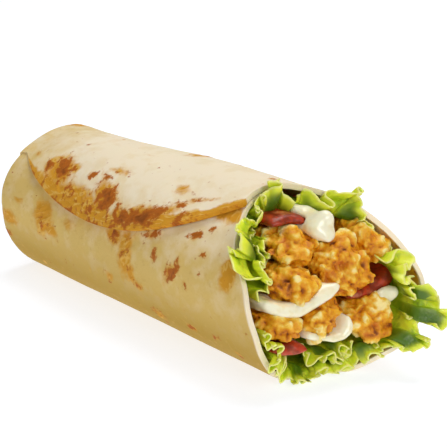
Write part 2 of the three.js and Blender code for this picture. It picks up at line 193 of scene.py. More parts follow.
def nuggets(points, size, seed):    # how far the nearest of many scattered seeds is
    p = points / size
    cell = np.floor(p)
    near = np.full(p.shape[:-1], np.inf)
    for step in itertools.product((-1, 0, 1), repeat=3):
        other = cell + step
        seeds = np.stack([other[..., k] + hashed(other, seed + 31 * k) for k in range(3)], -1)
        near = np.minimum(near, np.linalg.norm(seeds - p, axis=-1))
    return near


def gridFaces(rows, columns, keep=None):    # the quads of a grid of points, where all four are kept
    r, c = np.meshgrid(np.arange(rows - 1), np.arange(columns - 1), indexing="ij")
    a = r * columns + c
    quads = np.stack([a, a + 1, a + columns + 1, a + columns], -1).reshape(-1, 4)
    return quads if keep is None else quads[keep[quads].all(axis=1)]


def meshObject(name, points, faces):    # points in the row frame, metres
    mesh = bpy.data.meshes.new(name)
    mesh.from_pydata(np.asarray(points).tolist(), [], np.asarray(faces).tolist())
    mesh.update()
    mesh.shade_smooth()
    made = bpy.data.objects.new(name, mesh)
    bpy.context.scene.collection.objects.link(made)
    return made


def setAttribute(made, name, values):
    attribute = made.data.attributes.new(name, "FLOAT", "POINT")
    attribute.data.foreach_set("value", np.asarray(values, np.float32).ravel())


def meshPoints(made):
    points = np.zeros(len(made.data.vertices) * 3, np.float32)
    made.data.vertices.foreach_get("co", points)
    return points.reshape(-1, 3).astype(float)


def meshNormals(made):
    normals = np.zeros(len(made.data.vertices) * 3, np.float32)
    made.data.vertex_normals.foreach_get("vector", normals)
    return normals.reshape(-1, 3).astype(float)


def movePoints(made, points):
    made.data.vertices.foreach_set("co", np.asarray(points, np.float32).ravel())
    made.data.update()


def removePoints(made, gone):
    build = bmesh.new()
    build.from_mesh(made.data)
    build.verts.ensure_lookup_table()
    bmesh.ops.delete(build, geom=[build.verts[k] for k in np.flatnonzero(gone)], context="VERTS")
    build.to_mesh(made.data)
    build.free()


def applied(made):    # bakes the modifiers into the mesh
    graph = bpy.context.evaluated_depsgraph_get()
    mesh = bpy.data.meshes.new_from_object(made.evaluated_get(graph))
    made.modifiers.clear()
    old = made.data
    made.data = mesh
    mesh.name = old.name
    bpy.data.meshes.remove(old)
    mesh.shade_smooth()
    return made


def nodesOf(kind):    # the solids of one kind, always in the same order
    return sorted(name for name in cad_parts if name.startswith(kind))


def denseCopy(node, piece, voxel):    # a solid's copy with an even, fine skin
    name = piece + "_" + node.split("_", 1)[1]
    made = bpy.data.objects.new(name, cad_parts[node].data.copy())
    bpy.context.scene.collection.objects.link(made)
    made.data.materials.clear()
    remesh = made.modifiers.new("even skin", "REMESH")
    remesh.mode = "VOXEL"
    remesh.voxel_size = voxel * mm
    remesh.use_smooth_shade = True
    return applied(made)


def smoothMesh(made, rounds):
    modifier = made.modifiers.new("rounded", "SMOOTH")
    modifier.iterations = rounds
    modifier.factor = 0.5
    applied(made)


def thicken(made, thickness, offset):    # offset -1 keeps the given skin outside, 0 keeps it in the middle
    skin = made.modifiers.new("thickness", "SOLIDIFY")
    skin.thickness = thickness * mm
    skin.offset = offset
    applied(made)


def swell(made, outward):    # moves each point along its normal, in millimetres
    movePoints(made, meshPoints(made) + meshNormals(made) * (outward * mm)[:, None])


def settlePiece(made, material, node):    # the piece takes the solid's place
    made.data.materials.clear()
    made.data.materials.append(material)
    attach(made, "root")
    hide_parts(node)


def newMaterial(name, settings):
    material = bpy.data.materials.new(name)
    material.use_nodes = True
    tree = material.node_tree
    surface = tree.nodes["Principled BSDF"]
    for socket, value in settings.items():
        surface.inputs[socket].default_value = value
    return material, tree, surface


def shaderNode(tree, kind, inputs=None, **settings):
    made = tree.nodes.new(kind)
    for key, value in settings.items():
        setattr(made, key, value)
    for socket, value in (inputs or {}).items():
        if isinstance(value, bpy.types.NodeSocket):
            tree.links.new(value, made.inputs[socket])
        else:
            made.inputs[socket].default_value = value
    return made


def places(tree):    # the row frame's own coordinates in millimetres
    coordinates = shaderNode(tree, "ShaderNodeTexCoord").outputs["Object"]
    scaled = shaderNode(tree, "ShaderNodeVectorMath", {0: coordinates, "Scale": 1 / mm}, operation="SCALE")
    return scaled.outputs["Vector"]


def grain(tree, size, detail, distortion=0.0):    # cloudy noise of that size in millimetres
    inputs = {"Vector": places(tree), "Scale": 1 / size, "Detail": detail, "Distortion": distortion,
              "Roughness": 0.55}
    return shaderNode(tree, "ShaderNodeTexNoise", inputs).outputs["Fac"]


def painted(tree, name):    # a value stored on the mesh's points
    return shaderNode(tree, "ShaderNodeAttribute", attribute_name=name).outputs["Fac"]


def calc(tree, operation, first, second, clamp=False):
    inputs = {0: first, 1: second}
    return shaderNode(tree, "ShaderNodeMath", inputs, operation=operation, use_clamp=clamp).outputs[0]


def weighted(tree, value, factor, shift):    # value times factor, plus shift
    inputs = {0: value, 1: factor, 2: shift}
    return shaderNode(tree, "ShaderNodeMath", inputs, operation="MULTIPLY_ADD").outputs[0]


def spread(tree, value, low, high, newLow=0.0, newHigh=1.0):    # a soft step between two values
    inputs = {"Value": value, "From Min": low, "From Max": high, "To Min": newLow, "To Max": newHigh}
    return shaderNode(tree, "ShaderNodeMapRange", inputs, interpolation_type="SMOOTHSTEP").outputs[0]


def blended(tree, share, under, over):    # one colour laid over another
    inputs = {0: share, 6: under, 7: over}
    return shaderNode(tree, "ShaderNodeMix", inputs, data_type="RGBA").outputs[2]


def relief(tree, surface, height, depth, strength):    # fine bumps, depth in millimetres
    inputs = {"Height": height, "Distance": depth * mm, "Strength": strength}
    tree.links.new(shaderNode(tree, "ShaderNodeBump", inputs).outputs["Normal"], surface.inputs["Normal"])


# The toasted places that the photograph shows, one of them browning with painted shade under the flap's edge:
# along the roll, angle on the sheet, half length, half width, lean towards the far side, golden, brown.
toastSpots = [
    (32, 135, 9, 7, 10, 1.0, 0.9), (27, 126, 3.4, 1.8, 0, 0.8, 0.75), (39, 130, 3, 3, 0, 0.9, 0.85),
    (24, 133, 3, 4, 0, 1.0, 0.8), (62, 122, 7, 2, 0, 0.7, 0.6), (50, 131, 4, 2.4, 0, 0.6, 0.6),
    (57, 128, 5, 2, 15, 0.6, 0.75), (63, 142, 8, 6, 25, 1.0, 1.0), (86, 146, 13, 3.8, -20, 1.0, 1.15),
    (76, 151, 8, 4, 0, 1.0, 0.95), (96, 137, 6, 2.6, -25, 0.8, 0.9), (100, 131, 3.6, 2.4, -20, 0.7, 0.9),
    (105, 124, 3.4, 1.5, -20, 0.6, 0.85), (111, 120, 4, 1.4, -20, 0.7, 0.8), (95, 119, 4.5, 3, 0, 0.7, 0.2),
    (46, 148, 12, 5, 0, 1.0, 0.55), (16, 97, 2.2, 0.8, 0, 0.2, 0.65), (33, 109, 1.5, 1.3, 0, 0.2, 0.65),
    (26, 104, 1.3, 0.8, 0, 0.1, 0.55), (12, 128, 2.5, 2, 30, 0.6, 0.45), (70, 108, 3, 1.2, 0, 0.3, 0.2),
    # the spot at 120 along and -236 round, on the layer just under the flap's edge by the mouth, is browning
    # with painted shade cast by the flap
    (64, 99, 4, 1.2, 0, 0.4, 0.15), (120, -236, 13, 4, 0, 1.0, 0.35), (28, -187, 6, 8, 0, 1.2, 0.45),
    (33, -180, 5, 3, 0, 1.0, 0.35), (45, -190, 7, 3, 0, 0.6, 0.0), (72, -196, 4.6, 3.6, 35, 1.2, 0.95),
    (80, -187, 4, 9, 0, 1.2, 0.4), (84, -174, 3, 4, 0, 0.9, 0.4), (93, -206, 4.6, 2.6, 0, 0.7, 1.0),
    (97, -193, 2, 4.8, 0, 0.5, 0.85), (113, -214, 3.8, 2.2, -20, 0.5, 0.95),
    (119, -222, 2.6, 1.8, -30, 0.4, 0.9), (121, -205, 2.3, 1.6, 0, 0.4, 0.75),
    (107, -187, 6.6, 3, -50, 0.8, 1.15), (115, -183, 2.8, 2.2, 20, 0.5, 0.95),
    (122, -194, 2.4, 1.4, -30, 0.3, 0.6), (104, -163, 1.6, 1.8, 0, 0.3, 0.75),
    (135, -200, 4, 6.5, 0, 1.2, 0.55), (112, -148, 3.4, 2, 0, 0.8, 0.75),
    (125, -150, 2.2, 1.8, 0, 0.5, 0.75), (70, -165, 3, 2.2, 0, 0.8, 0.6), (58, -163, 1.4, 1.6, 0, 0.3, 0.8),
    (88, -168, 3, 2, 0, 0.8, 0.4), (5, -176, 5, 4, 0, 1.0, 0.3), (2, -160, 2.4, 2.4, 0, 0.5, 0.7),
    (12, -195, 3, 3.4, 0, 0.7, 0.4), (16, -166, 2, 1.2, 0, 0.4, 0.6), (154, 24, 5, 4, 0, 0.8, 0.3),
    (160, 4, 4, 4, 0, 1.0, 0.45),
]
tortillaLook = {
    "flapColumns": 44, "turnColumns": 210, "tuckColumns": 14,
    "endRows": 16, "shoulderRows": 9, "wallRows": 140,
    "tipColumn": 1.2,         # the flap's first column, in columns from its tip
    "lipRound": 0.55, "lipAngle": 62, "lipPale": (1.0, 0.3),
    "seed": 4,

    # how far the toasted band reaches in from the flap's edge, and how wide it is there
    "bandAlong": (6, 18, 32, 58, 84, 106, 124, 150),
    "bandWidth": (0, 3, 13, 12, 10, 5, 2.5, 0),
    "bandUneven": 0.8, "bandPatch": 7, "bandStart": (2, 9), "bandGold": 0.9,
    "edgeBrown": 0.55, "edgeWidth": (1.5, 0.2),    # a browned line along the flap's very edge
    "searedFrom": (22, 60), "searedTo": (116, 100), "searedDeep": 0.85, "searedPatch": 5,

    # small spots where the photograph doesn't show the roll
    "scattered": 46, "scatterAlong": 150, "scatterFrom": -150, "scatterRound": 235,
    "scatterLeast": 1, "scatterMore": 3.5, "scatterLong": 1.3,

    # the bare sheet: pale on top (by how far it faces up) and tan at the sides and end, partly its own tan
    # and partly painted shade, with painted shade deeper low down
    "paleTop": (0.1, 0.97), "tanEnd": (46, 6), "tanMore": 0.6, "lowShade": (0.1, -0.6),
    "flatUnder": (0.7, 0.95), "flatShare": 0.9,    # the underside stays flat
    "blister": 0.42, "ripple": 0.2, "rippleSize": 13,
    "streakLong": 2.0, "streakWide": 2.6,
    "wrinkleLong": 5, "wrinkleWide": 1.5, "wrinkleSlant": 0.35, "wrinkleBend": 1.4,

    # how each colour comes in: from and to value, and at times its least and most share
    "cloudSize": 7, "clouds": (0.3, 0.7, -0.24, 0.2),
    "fleckSize": 2.2, "flecks": (0.56, 0.78, 0, 0.6),
    "goldGrain": 3.4, "goldRange": (0.22, 0.78), "ridges": (0.55, 0.95, 0, 0.75),
    "brownGrain": 1.7, "brownRange": (0.42, 0.78), "charRange": (0.85, 1.35, 0, 0.85),
    "poreSize": 1.1, "creaseSize": 4.5, "creases": 2.0,
    "cream": tint(252, 235, 204), "shadedTan": tint(228, 194, 112), "fleck": tint(212, 172, 86),
    # the low colour is painted shade low on the roll; the tan colour holds the sheet's own tan with painted
    # shade in it
    "low": tint(188, 150, 54), "ridge": tint(238, 196, 98),
    "golden": tint(218, 154, 36), "brown": tint(184, 100, 20), "char": tint(136, 70, 10),
}


def tortillaGrid():    # the sheet's outer skin, column by column round the roll, and what lies where on it
    look = tortillaLook
    span = flap["tipAngle"] - sheet["shoulderAngle"]
    tip = look["tipColumn"]
    flapShare = ((np.arange(look["flapColumns"]) + tip) / (look["flapColumns"] + tip)) ** 2
    lastTurn = sheet["shoulderAngle"] - 360
    tuckSpan = sheet["tuckAngle"] - lastTurn
    angles = np.concatenate([
        flap["tipAngle"] - span * flapShare,
        sheet["shoulderAngle"] - 360 * np.arange(look["turnColumns"] + 1) / look["turnColumns"],
        lastTurn + tuckSpan * (np.arange(look["tuckColumns"]) + 1) / look["tuckColumns"],
    ])
    start = roll["closedX"] + roll["shoulder"]
    turnStart = 1 - roll["shoulder"] / halfHeight(start)
    bend = np.sin(np.radians(90) * np.arange(look["shoulderRows"]) / look["shoulderRows"])
    shares = np.concatenate([turnStart * np.arange(look["endRows"]) / look["endRows"],
                             turnStart + (1 - turnStart) * bend])
    endPart = endPoint(shares[None, :], angles[:, None])
    reach = flapReach(angles)
    back = np.maximum(start, flap["tipX"] - reach)
    front = np.where(angles > 90, np.minimum(rimX(angles), flap["tipX"] + reach), rimX(angles))
    wallShares = np.linspace(0, 1, look["wallRows"] + 1)
    x = back[:, None] + (front - back)[:, None] * wallShares[None, :]
    wallPart = wallPoint(x, angles[:, None] + 0 * x, lift(angles)[:, None] - flapPressed(x, angles[:, None]))
    closed = (angles <= sheet["shoulderAngle"] + 0.01) & (angles >= lastTurn - 0.01)
    keep = np.ones((len(angles), len(shares) + wallShares.size), bool)
    keep[~closed, :len(shares)] = False
    endAlong = start - (1 - shares[None, :] + 0 * angles[:, None]) * halfHeight(start)
    along = np.concatenate([endAlong, x], 1)    # the distance along the sheet, unrolled
    toRim = front[:, None] - along
    return np.concatenate([endPart, wallPart], 1), along, angles[:, None] + 0 * along, toRim, keep


def scatteredSpots():    # in the same form as the spots above
    look = tortillaLook
    draw = np.random.default_rng(look["seed"])
    spots = []
    for _ in range(look["scattered"]):
        size = look["scatterLeast"] + look["scatterMore"] * draw.random() ** 2
        place = look["scatterAlong"] * draw.random()
        turn = look["scatterFrom"] + look["scatterRound"] * draw.random()
        lean = 90 * draw.random()
        gold = 0.3 + 0.6 * draw.random()
        spots.append((place, turn, size * look["scatterLong"], size, lean, gold, draw.random() ** 2))
    return spots


# how golden and how brown each point is, 0 to a little over 1, and how free the skin is to blister, 0 to 1
def toasted(along, angle):
    look = tortillaLook
    radius = halfHeight(flap["tipX"])
    golden, brown = np.zeros_like(along), np.zeros_like(along)
    for place, turn, length, width, lean, gold, dark in toastSpots + scatteredSpots():
        u = along - place
        v = np.radians(angle - turn) * radius
        c, s = math.cos(math.radians(lean)), math.sin(math.radians(lean))
        fall = np.exp(-(((u * c + v * s) / length) ** 2 + ((v * c - u * s) / width) ** 2))
        golden = np.maximum(golden, gold * fall)
        brown = np.maximum(brown, dark * fall)
    onFlap = angle > 90
    down = np.radians(flap["tipAngle"] - angle) * radius
    fromEdge = flap["radius"] - np.hypot(along - flap["tipX"], flap["radius"] - down)
    flat = np.stack([along, np.radians(angle) * radius, 0 * along], -1)
    uneven = 1 + look["bandUneven"] * layeredNoise(flat, look["bandPatch"], 31, 4)
    wide = np.interp(along, look["bandAlong"], look["bandWidth"]) * uneven
    band = smooth(fromEdge, np.maximum(wide, 0.1), 0.3 * wide) * smooth(along, *look["bandStart"]) * onFlap
    middle = smooth(along, *look["searedFrom"]) * smooth(along, *look["searedTo"]) * onFlap
    seared = smooth(fromEdge, look["searedDeep"] * wide + 0.01, 0.3 * wide) * middle
    seared = seared * (0.6 + 0.7 * layeredNoise(flat, look["searedPatch"], 37, 3))
    golden = np.maximum(golden, look["bandGold"] * band)
    edge = look["edgeBrown"] * band * smooth(fromEdge, *look["edgeWidth"])
    brown = np.maximum(brown, np.maximum(seared, edge))
    blistering = smooth(fromEdge, 0.4, 3) * onFlap + ~onFlap
    return golden, brown, blistering


def tanAndShadeOf(along, angle):    # how tan the bare sheet is, partly its own tan and partly painted shade, and how much painted shade lies low down
    look = tortillaLook
    upward = np.sin(np.radians(angle))
    tanAndShade = 1 - smooth(upward, *look["paleTop"]) + look["tanMore"] * smooth(along, *look["tanEnd"])
    return np.clip(tanAndShade, 0, 1), smooth(upward, *look["lowShade"])


tortillaPoints, tortillaAlong, tortillaAngle, tortillaToRim, tortillaKeep = tortillaGrid()
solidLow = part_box("tortilla")[0]
ownLow = tortillaPoints[tortillaKeep].min(axis=0)
# where the roll's own frame stands in the row frame
rollZero = np.array([solidLow.x / mm - ownLow[0], solidLow.y / mm - ownLow[1], 0])


def toRow(points):    # millimetres in the roll's frame to metres in the row frame
    return (points + rollZero) * mm


def tortillaMaterial():
    look = tortillaLook
    material, tree, surface = newMaterial("baked flour sheet", {
        "Roughness": 0.72, "Specular IOR Level": 0.25, "Subsurface Weight": 0.12,
        "Subsurface Radius": (0.004, 0.0025, 0.0015), "Subsurface Scale": 0.6,
    })
    # painted shade, partly the sheet's own tan: cream where the sheet faces up, tan at the sides and end
    tanAndShade = painted(tree, "tanAndShade")
    clouds = spread(tree, grain(tree, look["cloudSize"], 5), *look["clouds"])
    base = blended(tree, calc(tree, "ADD", tanAndShade, clouds, True), look["cream"], look["shadedTan"])
    # painted shade: a deeper tan on the parts that face down
    base = blended(tree, painted(tree, "low"), base, look["low"])
    flecks = spread(tree, grain(tree, look["fleckSize"], 4), *look["flecks"])
    base = blended(tree, calc(tree, "MULTIPLY", flecks, tanAndShade), base, look["fleck"])

    # golden places, with paler wrinkles standing out of them
    ragged = weighted(tree, grain(tree, look["goldGrain"], 4, 0.6), 0.9, -0.45)
    gold = spread(tree, calc(tree, "ADD", painted(tree, "golden"), ragged), *look["goldRange"])
    base = blended(tree, gold, base, look["golden"])
    ridges = calc(tree, "MULTIPLY", spread(tree, painted(tree, "wrinkle"), *look["ridges"]), gold)
    base = blended(tree, ridges, base, look["ridge"])

    # brown places, charred at the middle
    streaked = weighted(tree, painted(tree, "streak"), 0.75, painted(tree, "brown"))
    fine = weighted(tree, grain(tree, look["brownGrain"], 4, 0.8), 1.3, -0.68)
    toast = calc(tree, "ADD", streaked, fine)
    base = blended(tree, spread(tree, toast, *look["brownRange"]), base, look["brown"])
    base = blended(tree, spread(tree, toast, *look["charRange"]), base, look["char"])
    base = blended(tree, painted(tree, "lip"), base, look["cream"])
    tree.links.new(base, surface.inputs["Base Color"])
    pores, creases = grain(tree, look["poreSize"], 4), grain(tree, look["creaseSize"], 3)
    relief(tree, surface, weighted(tree, creases, look["creases"], pores), 0.12, 0.8)
    return material


def addTortilla():
    look = tortillaLook
    rows, columns = tortillaPoints.shape[:2]
    points = tortillaPoints.reshape(-1, 3)
    along, angle, toRim = (values.reshape(-1) for values in (tortillaAlong, tortillaAngle, tortillaToRim))
    golden, brown, blistering = toasted(along, angle)
    # painted shade with the sheet's own tan: tanner at the sides and end, darker low down
    tanAndShade, low = tanAndShadeOf(along, angle)
    around = np.radians(angle) * halfHeight(flap["tipX"])
    sheetPlaces = np.stack([along, around, 0 * along], -1)
    flat = np.stack([along / look["streakLong"], around / look["streakWide"], 0 * along], -1)
    streak = layeredNoise(flat, 1.0, 5, 3)
    bent = look["wrinkleBend"] * layeredNoise(flat, 2.5, 44, 2)
    across = (around + bent + look["wrinkleSlant"] * along) / look["wrinkleWide"]
    folds = np.stack([along / look["wrinkleLong"], across, 0 * along], -1)
    wrinkle = 1 - 2.4 * np.abs(layeredNoise(folds, 1.0, 51, 2))
    lip = smooth(toRim, *look["lipPale"]) * (angle < 110)

    made = meshObject("tortilla_sheet", toRow(points), gridFaces(rows, columns, tortillaKeep.reshape(-1)))
    normals = meshNormals(made)
    toast = np.clip(np.maximum(golden, brown), 0, 1)
    wave = look["ripple"] * layeredNoise(sheetPlaces, look["rippleSize"], 8, 3)
    rough = streak + 0.6 * layeredNoise(points, 2.2, 21, 2) + 0.7 * wrinkle
    blister = look["blister"] * toast * blistering * smooth(toRim, 0.5, 3) * rough
    free = 1 - look["flatShare"] * smooth(-np.sin(np.radians(angle)), *look["flatUnder"])
    movePoints(made, toRow(points) + normals * ((wave + blister) * free * mm)[:, None])
    stored = {"golden": golden, "brown": brown, "tanAndShade": tanAndShade, "low": low, "streak": streak,
              "wrinkle": wrinkle, "lip": lip}
    for name, values in stored.items():
        setAttribute(made, name, values)
    removePoints(made, ~tortillaKeep.reshape(-1))
    thicken(made, sheet["thickness"], -1)
    edge = made.modifiers.new("rounded lip", "BEVEL")
    edge.width = look["lipRound"] * mm
    edge.segments = 3
    edge.limit_method = "ANGLE"
    edge.angle_limit = math.radians(look["lipAngle"])
    applied(made)
    settlePiece(made, tortillaMaterial(), "tortilla")


def addCamera():
    azimuth, elevation = math.radians(camera["azimuth"]), math.radians(camera["elevation"])
    back = Vector((math.sin(azimuth) * math.cos(elevation), -math.cos(azimuth) * math.cos(elevation),
                   math.sin(elevation)))
    right = Vector((math.cos(azimuth), math.sin(azimuth), 0))
    up = back.cross(right)
    sideways, upward = camera["slide"]
    place = Vector(camera["target"]) + back * camera["distance"] + right * sideways + up * upward
    data = bpy.data.cameras.new("camera")
    data.lens = camera["lens"]
    data.sensor_width = camera["sensor"]
    data.clip_start, data.clip_end = camera["clip"]
    made = bpy.data.objects.new("camera", data)
    turn = Matrix((right, up, back)).transposed().to_4x4()
    made.matrix_world = Matrix.Translation(Vector(toRow(np.array(place)))) @ turn
    bpy.context.scene.collection.objects.link(made)
    bpy.context.scene.camera = made


addCamera()
print("stage: camera")

# Light, floor and a far white wall. Places in metres, power in watts.
studio = {
    "worldStrength": 0.2,
    "floorSize": 6.0, "wallSides": 48, "wallHeight": 3.0,
    "floorColour": tint(162, 167, 178), "floorGlow": 0.76,
    "aim": (0, 0, 0.03),    # where the lights point
    "key": {"place": (-0.1, 0.3, 1.2), "size": 0.7, "power": 8.6},
    "front": {"place": (1.0, -0.25, 0.6), "size": 0.45, "power": 4.6},
    "side": {"place": (-0.2, -0.9, 0.8), "size": 0.8, "power": 0.8},
}


def addLight(name):
    settings = studio[name]
    data = bpy.data.lights.new(name, "AREA")
    data.size = settings["size"]
    data.energy = settings["power"]
    made = bpy.data.objects.new(name, data)
    made.location = settings["place"]
    made.rotation_euler = (Vector(studio["aim"]) - made.location).to_track_quat("-Z", "Y").to_euler()
    bpy.context.scene.collection.objects.link(made)


def addBackdrop():    # a white wall beyond the floor, which gives no light of its own
    sides, far, tall = studio["wallSides"], studio["floorSize"] / 2, studio["wallHeight"]
    turns = [2 * math.pi * k / sides for k in range(sides)]
    ring = [(far * math.cos(turn), far * math.sin(turn)) for turn in turns]
    corners = [(x, y, 0) for x, y in ring] + [(x, y, tall) for x, y in ring]
    faces = [(k, (k + 1) % sides, sides + (k + 1) % sides, sides + k) for k in range(sides)]
    wall = meshObject("backdrop", corners, faces)
    material = newMaterial("white wall", {
        "Base Color": (0, 0, 0, 1), "Specular IOR Level": 0.0,
        "Emission Color": (1, 1, 1, 1), "Emission Strength": 1.0,
    })[0]
    wall.data.materials.append(material)
    wall.visible_diffuse = wall.visible_glossy = wall.visible_transmission = wall.visible_shadow = False


def addStudio():
    world = bpy.data.worlds.new("studio")
    world.use_nodes = True
    world.node_tree.nodes["Background"].inputs["Color"].default_value = (1, 1, 1, 1)
    world.node_tree.nodes["Background"].inputs["Strength"].default_value = studio["worldStrength"]
    bpy.context.scene.world = world
    bpy.context.scene.view_settings.view_transform = "Standard"
    for name in ("key", "front", "side"):
        addLight(name)
    half = studio["floorSize"] / 2
    corners = [(-half, -half, 0), (half, -half, 0), (half, half, 0), (-half, half, 0)]
    floor = meshObject("floor", corners, [(0, 1, 2, 3)])
    material = newMaterial("pale floor", {
        "Base Color": studio["floorColour"], "Roughness": 0.9,
        "Emission Color": (1, 1, 1, 1), "Emission Strength": studio["floorGlow"],
    })[0]
    floor.data.materials.append(material)
    addBackdrop()


addStudio()
print("stage: studio")

# Fried chicken. Relief and sizes in millimetres.
chickenLook = {
    "voxel": 0.56, "rounding": 6, "seed": 3,
    "folds": 1.5, "foldSize": 8.0,                      # big crags
    "flakes": 1.1, "flakeSize": 3.1,
    "nuggets": 1.0, "nuggetSize": 1.9, "nuggetPatch": 9,
    "crumbs": 0.55, "crumbSize": 1.1,
    "lean": 1.0, "leanSize": 4.5,                       # crags lean this way and that
    "deepest": -2.6, "highest": 1.8,                    # the relief's limits
    "mottleSize": 2.2, "patchSize": 6.5, "redSize": 7, "redRange": (0.56, 0.74, 0, 0.5),
    "grainSizes": (0.8, 2.4),
    # colours by the crust's height: painted shade dark in the crevices and painted highlights pale on the
    # tops, with the crust's own golden and orange between
    "stops": ((0.05, "deep"), (0.28, "orange"), (0.52, "gold"), (0.74, "pale"), (0.93, "flakeHighlight")),
    "deep": tint(138, 68, 0), "orange": tint(210, 124, 0), "gold": tint(234, 160, 8),
    "pale": tint(246, 196, 62), "flakeHighlight": tint(253, 230, 152), "red": tint(188, 70, 8),
}


def chickenMaterial():
    look = chickenLook
    material, tree, surface = newMaterial("fried crust", {
        "Roughness": 0.5, "Specular IOR Level": 0.34, "Coat Weight": 0.06, "Coat Roughness": 0.3,
        "Subsurface Weight": 0.15, "Subsurface Radius": (0.003, 0.0014, 0.0004), "Subsurface Scale": 0.5,
    })
    mottled = weighted(tree, grain(tree, look["mottleSize"], 5, 0.5), 0.7, -0.38)
    patchy = weighted(tree, grain(tree, look["patchSize"], 3, 0.8), 0.7, -0.36)
    # painted shade and highlights: the ramp darkens the crust's valleys and lightens its tops, with random
    # mottling on them
    level = calc(tree, "ADD", painted(tree, "height"), calc(tree, "ADD", mottled, patchy))
    ramp = shaderNode(tree, "ShaderNodeValToRGB", {"Fac": level})
    stops = ramp.color_ramp.elements
    first, *between, last = look["stops"]
    for stop, (position, name) in ((stops[0], first), (stops[1], last)):
        stop.position = position
        stop.color = look[name]
    for position, name in between:
        stops.new(position).color = look[name]
    reddish = spread(tree, grain(tree, look["redSize"], 3), *look["redRange"])
    base = blended(tree, reddish, ramp.outputs["Color"], look["red"])
    tree.links.new(base, surface.inputs["Base Color"])
    fine, coarse = look["grainSizes"]
    relief(tree, surface, calc(tree, "ADD", grain(tree, fine, 5), grain(tree, coarse, 4)), 0.35, 0.9)
    return material


def crag(made, seed):    # rounded lumps with sharp valleys between, then flakes and crumbs on them
    look = chickenLook
    points = meshPoints(made)
    p = points / mm + seed * 41.7    # each strip is cut from another part of the noise
    warp = np.stack([layeredNoise(p + 90 * k, look["leanSize"], seed + k, 2) for k in (1, 2, 3)], -1)
    folds = np.abs(layeredNoise(p + 2.2 * warp, look["foldSize"], seed + 7, 2))
    flakes = np.abs(softNoise(p + 1.6 * warp, look["flakeSize"], seed + 13))
    flakes = flakes + 0.4 * np.abs(softNoise(p - 1.2 * warp, look["flakeSize"] * 0.55, seed + 19))
    near = nuggets(p + 0.9 * warp, look["nuggetSize"], seed)
    patchy = smooth(layeredNoise(p, look["nuggetPatch"], seed + 11, 2), -0.4, 0.3)
    crumbs = layeredNoise(p, look["crumbSize"], seed + 3, 2)
    folds, flakes, nugget = 2.4 * folds - 0.55, 1.5 * flakes - 0.55, (1 - near ** 2) * patchy - 0.3
    depth = look["folds"] * folds + look["flakes"] * flakes + look["nuggets"] * nugget
    depth = np.clip(depth + look["crumbs"] * crumbs, look["deepest"], look["highest"])
    movePoints(made, points + meshNormals(made) * (depth * mm)[:, None] + warp * (look["lean"] * mm))
    # the height also sets the crust's colours: painted shade low down, painted highlights on top
    setAttribute(made, "height", 0.47 + 0.3 * folds + 0.36 * flakes + 0.3 * nugget + 0.3 * crumbs)


def addChicken():
    look = chickenLook
    material = chickenMaterial()
    for order, node in enumerate(nodesOf("chicken")):
        made = denseCopy(node, "crust", look["voxel"])
        smoothMesh(made, look["rounding"])
        crag(made, look["seed"] + order)
        settlePiece(made, material, node)
        print("  ", made.name, len(made.data.polygons))


# Sliced tomato.
tomatoLook = {
    "voxel": 0.7, "rounding": 5, "swell": 0.3, "swellSize": 5, "seed": 60,
    "red": tint(190, 62, 20), "deep": tint(134, 42, 10), "pale": tint(226, 142, 92),
    "fleshSize": 3.5, "fleshRange": (0.4, 0.65), "paleSize": 5, "paleRange": (0.55, 0.75, 0, 0.7),
    "grainSize": 1.6,
}


def tomatoMaterial():
    look = tomatoLook
    material, tree, surface = newMaterial("cut tomato", {
        "Roughness": 0.38, "Specular IOR Level": 0.4, "Coat Weight": 0.12, "Coat Roughness": 0.2,
        "Subsurface Weight": 0.3, "Subsurface Radius": (0.006, 0.0016, 0.001), "Subsurface Scale": 0.6,
    })
    red = spread(tree, grain(tree, look["fleshSize"], 3), *look["fleshRange"])
    flesh = blended(tree, red, look["deep"], look["red"])
    pale = spread(tree, grain(tree, look["paleSize"], 2), *look["paleRange"])
    tree.links.new(blended(tree, pale, flesh, look["pale"]), surface.inputs["Base Color"])
    relief(tree, surface, grain(tree, look["grainSize"], 2), 0.15, 0.6)
    return material


def addTomato():
    look = tomatoLook
    material = tomatoMaterial()
    for order, node in enumerate(nodesOf("tomato")):
        made = denseCopy(node, "slice", look["voxel"])
        smoothMesh(made, look["rounding"])
        lumps = layeredNoise(meshPoints(made) / mm, look["swellSize"], look["seed"] + order, 2)
        swell(made, look["swell"] * lumps)
        settlePiece(made, material, node)


# White sauce, fuller than its solids.
sauceLook = {
    "voxel": 0.5, "swell": 0.5, "lumps": 0.9, "lumpSize": 4.5, "rounding": 8, "seed": 80,
    "white": tint(251, 243, 212), "cream": tint(242, 224, 168),
    "cloudSize": 4, "clouds": (0.45, 0.7, 0, 0.6),
}


def sauceMaterial():
    look = sauceLook
    material, tree, surface = newMaterial("white sauce", {
        "Roughness": 0.24, "Specular IOR Level": 0.5, "Coat Weight": 0.3, "Coat Roughness": 0.1,
        "Subsurface Weight": 0.35, "Subsurface Radius": (0.004, 0.0034, 0.0026), "Subsurface Scale": 0.5,
    })
    clouds = spread(tree, grain(tree, look["cloudSize"], 2), *look["clouds"])
    tree.links.new(blended(tree, clouds, look["white"], look["cream"]), surface.inputs["Base Color"])
    return material


def addSauce():
    look = sauceLook
    material = sauceMaterial()
    for order, node in enumerate(nodesOf("sauce")):
        made = denseCopy(node, "dressing", look["voxel"])
        lumps = layeredNoise(meshPoints(made) / mm, look["lumpSize"], look["seed"] + order, 2)
        swell(made, look["swell"] + look["lumps"] * lumps)
        smoothMesh(made, look["rounding"])
        settlePiece(made, material, node)


# The leaves' sizes, the same as in the solids.
leafSizes = {
    "thickness": 0.8, "wallGap": 0.4, "deepGap": 0.8, "deepLevel": 0.62,
    "deep": (-40, -12), "waving": (-9, 6), "free": (1.5, 5.5),    # over these distances past the rim
    "hidden": 6,                                                  # a leaf's sides end this far behind it
    "rollStart": 1, "rollRadius": 3.6, "rootX": 22, "frill": 2.6, "waves": 20, "drift": 1.4, "floor": 1.6,
}
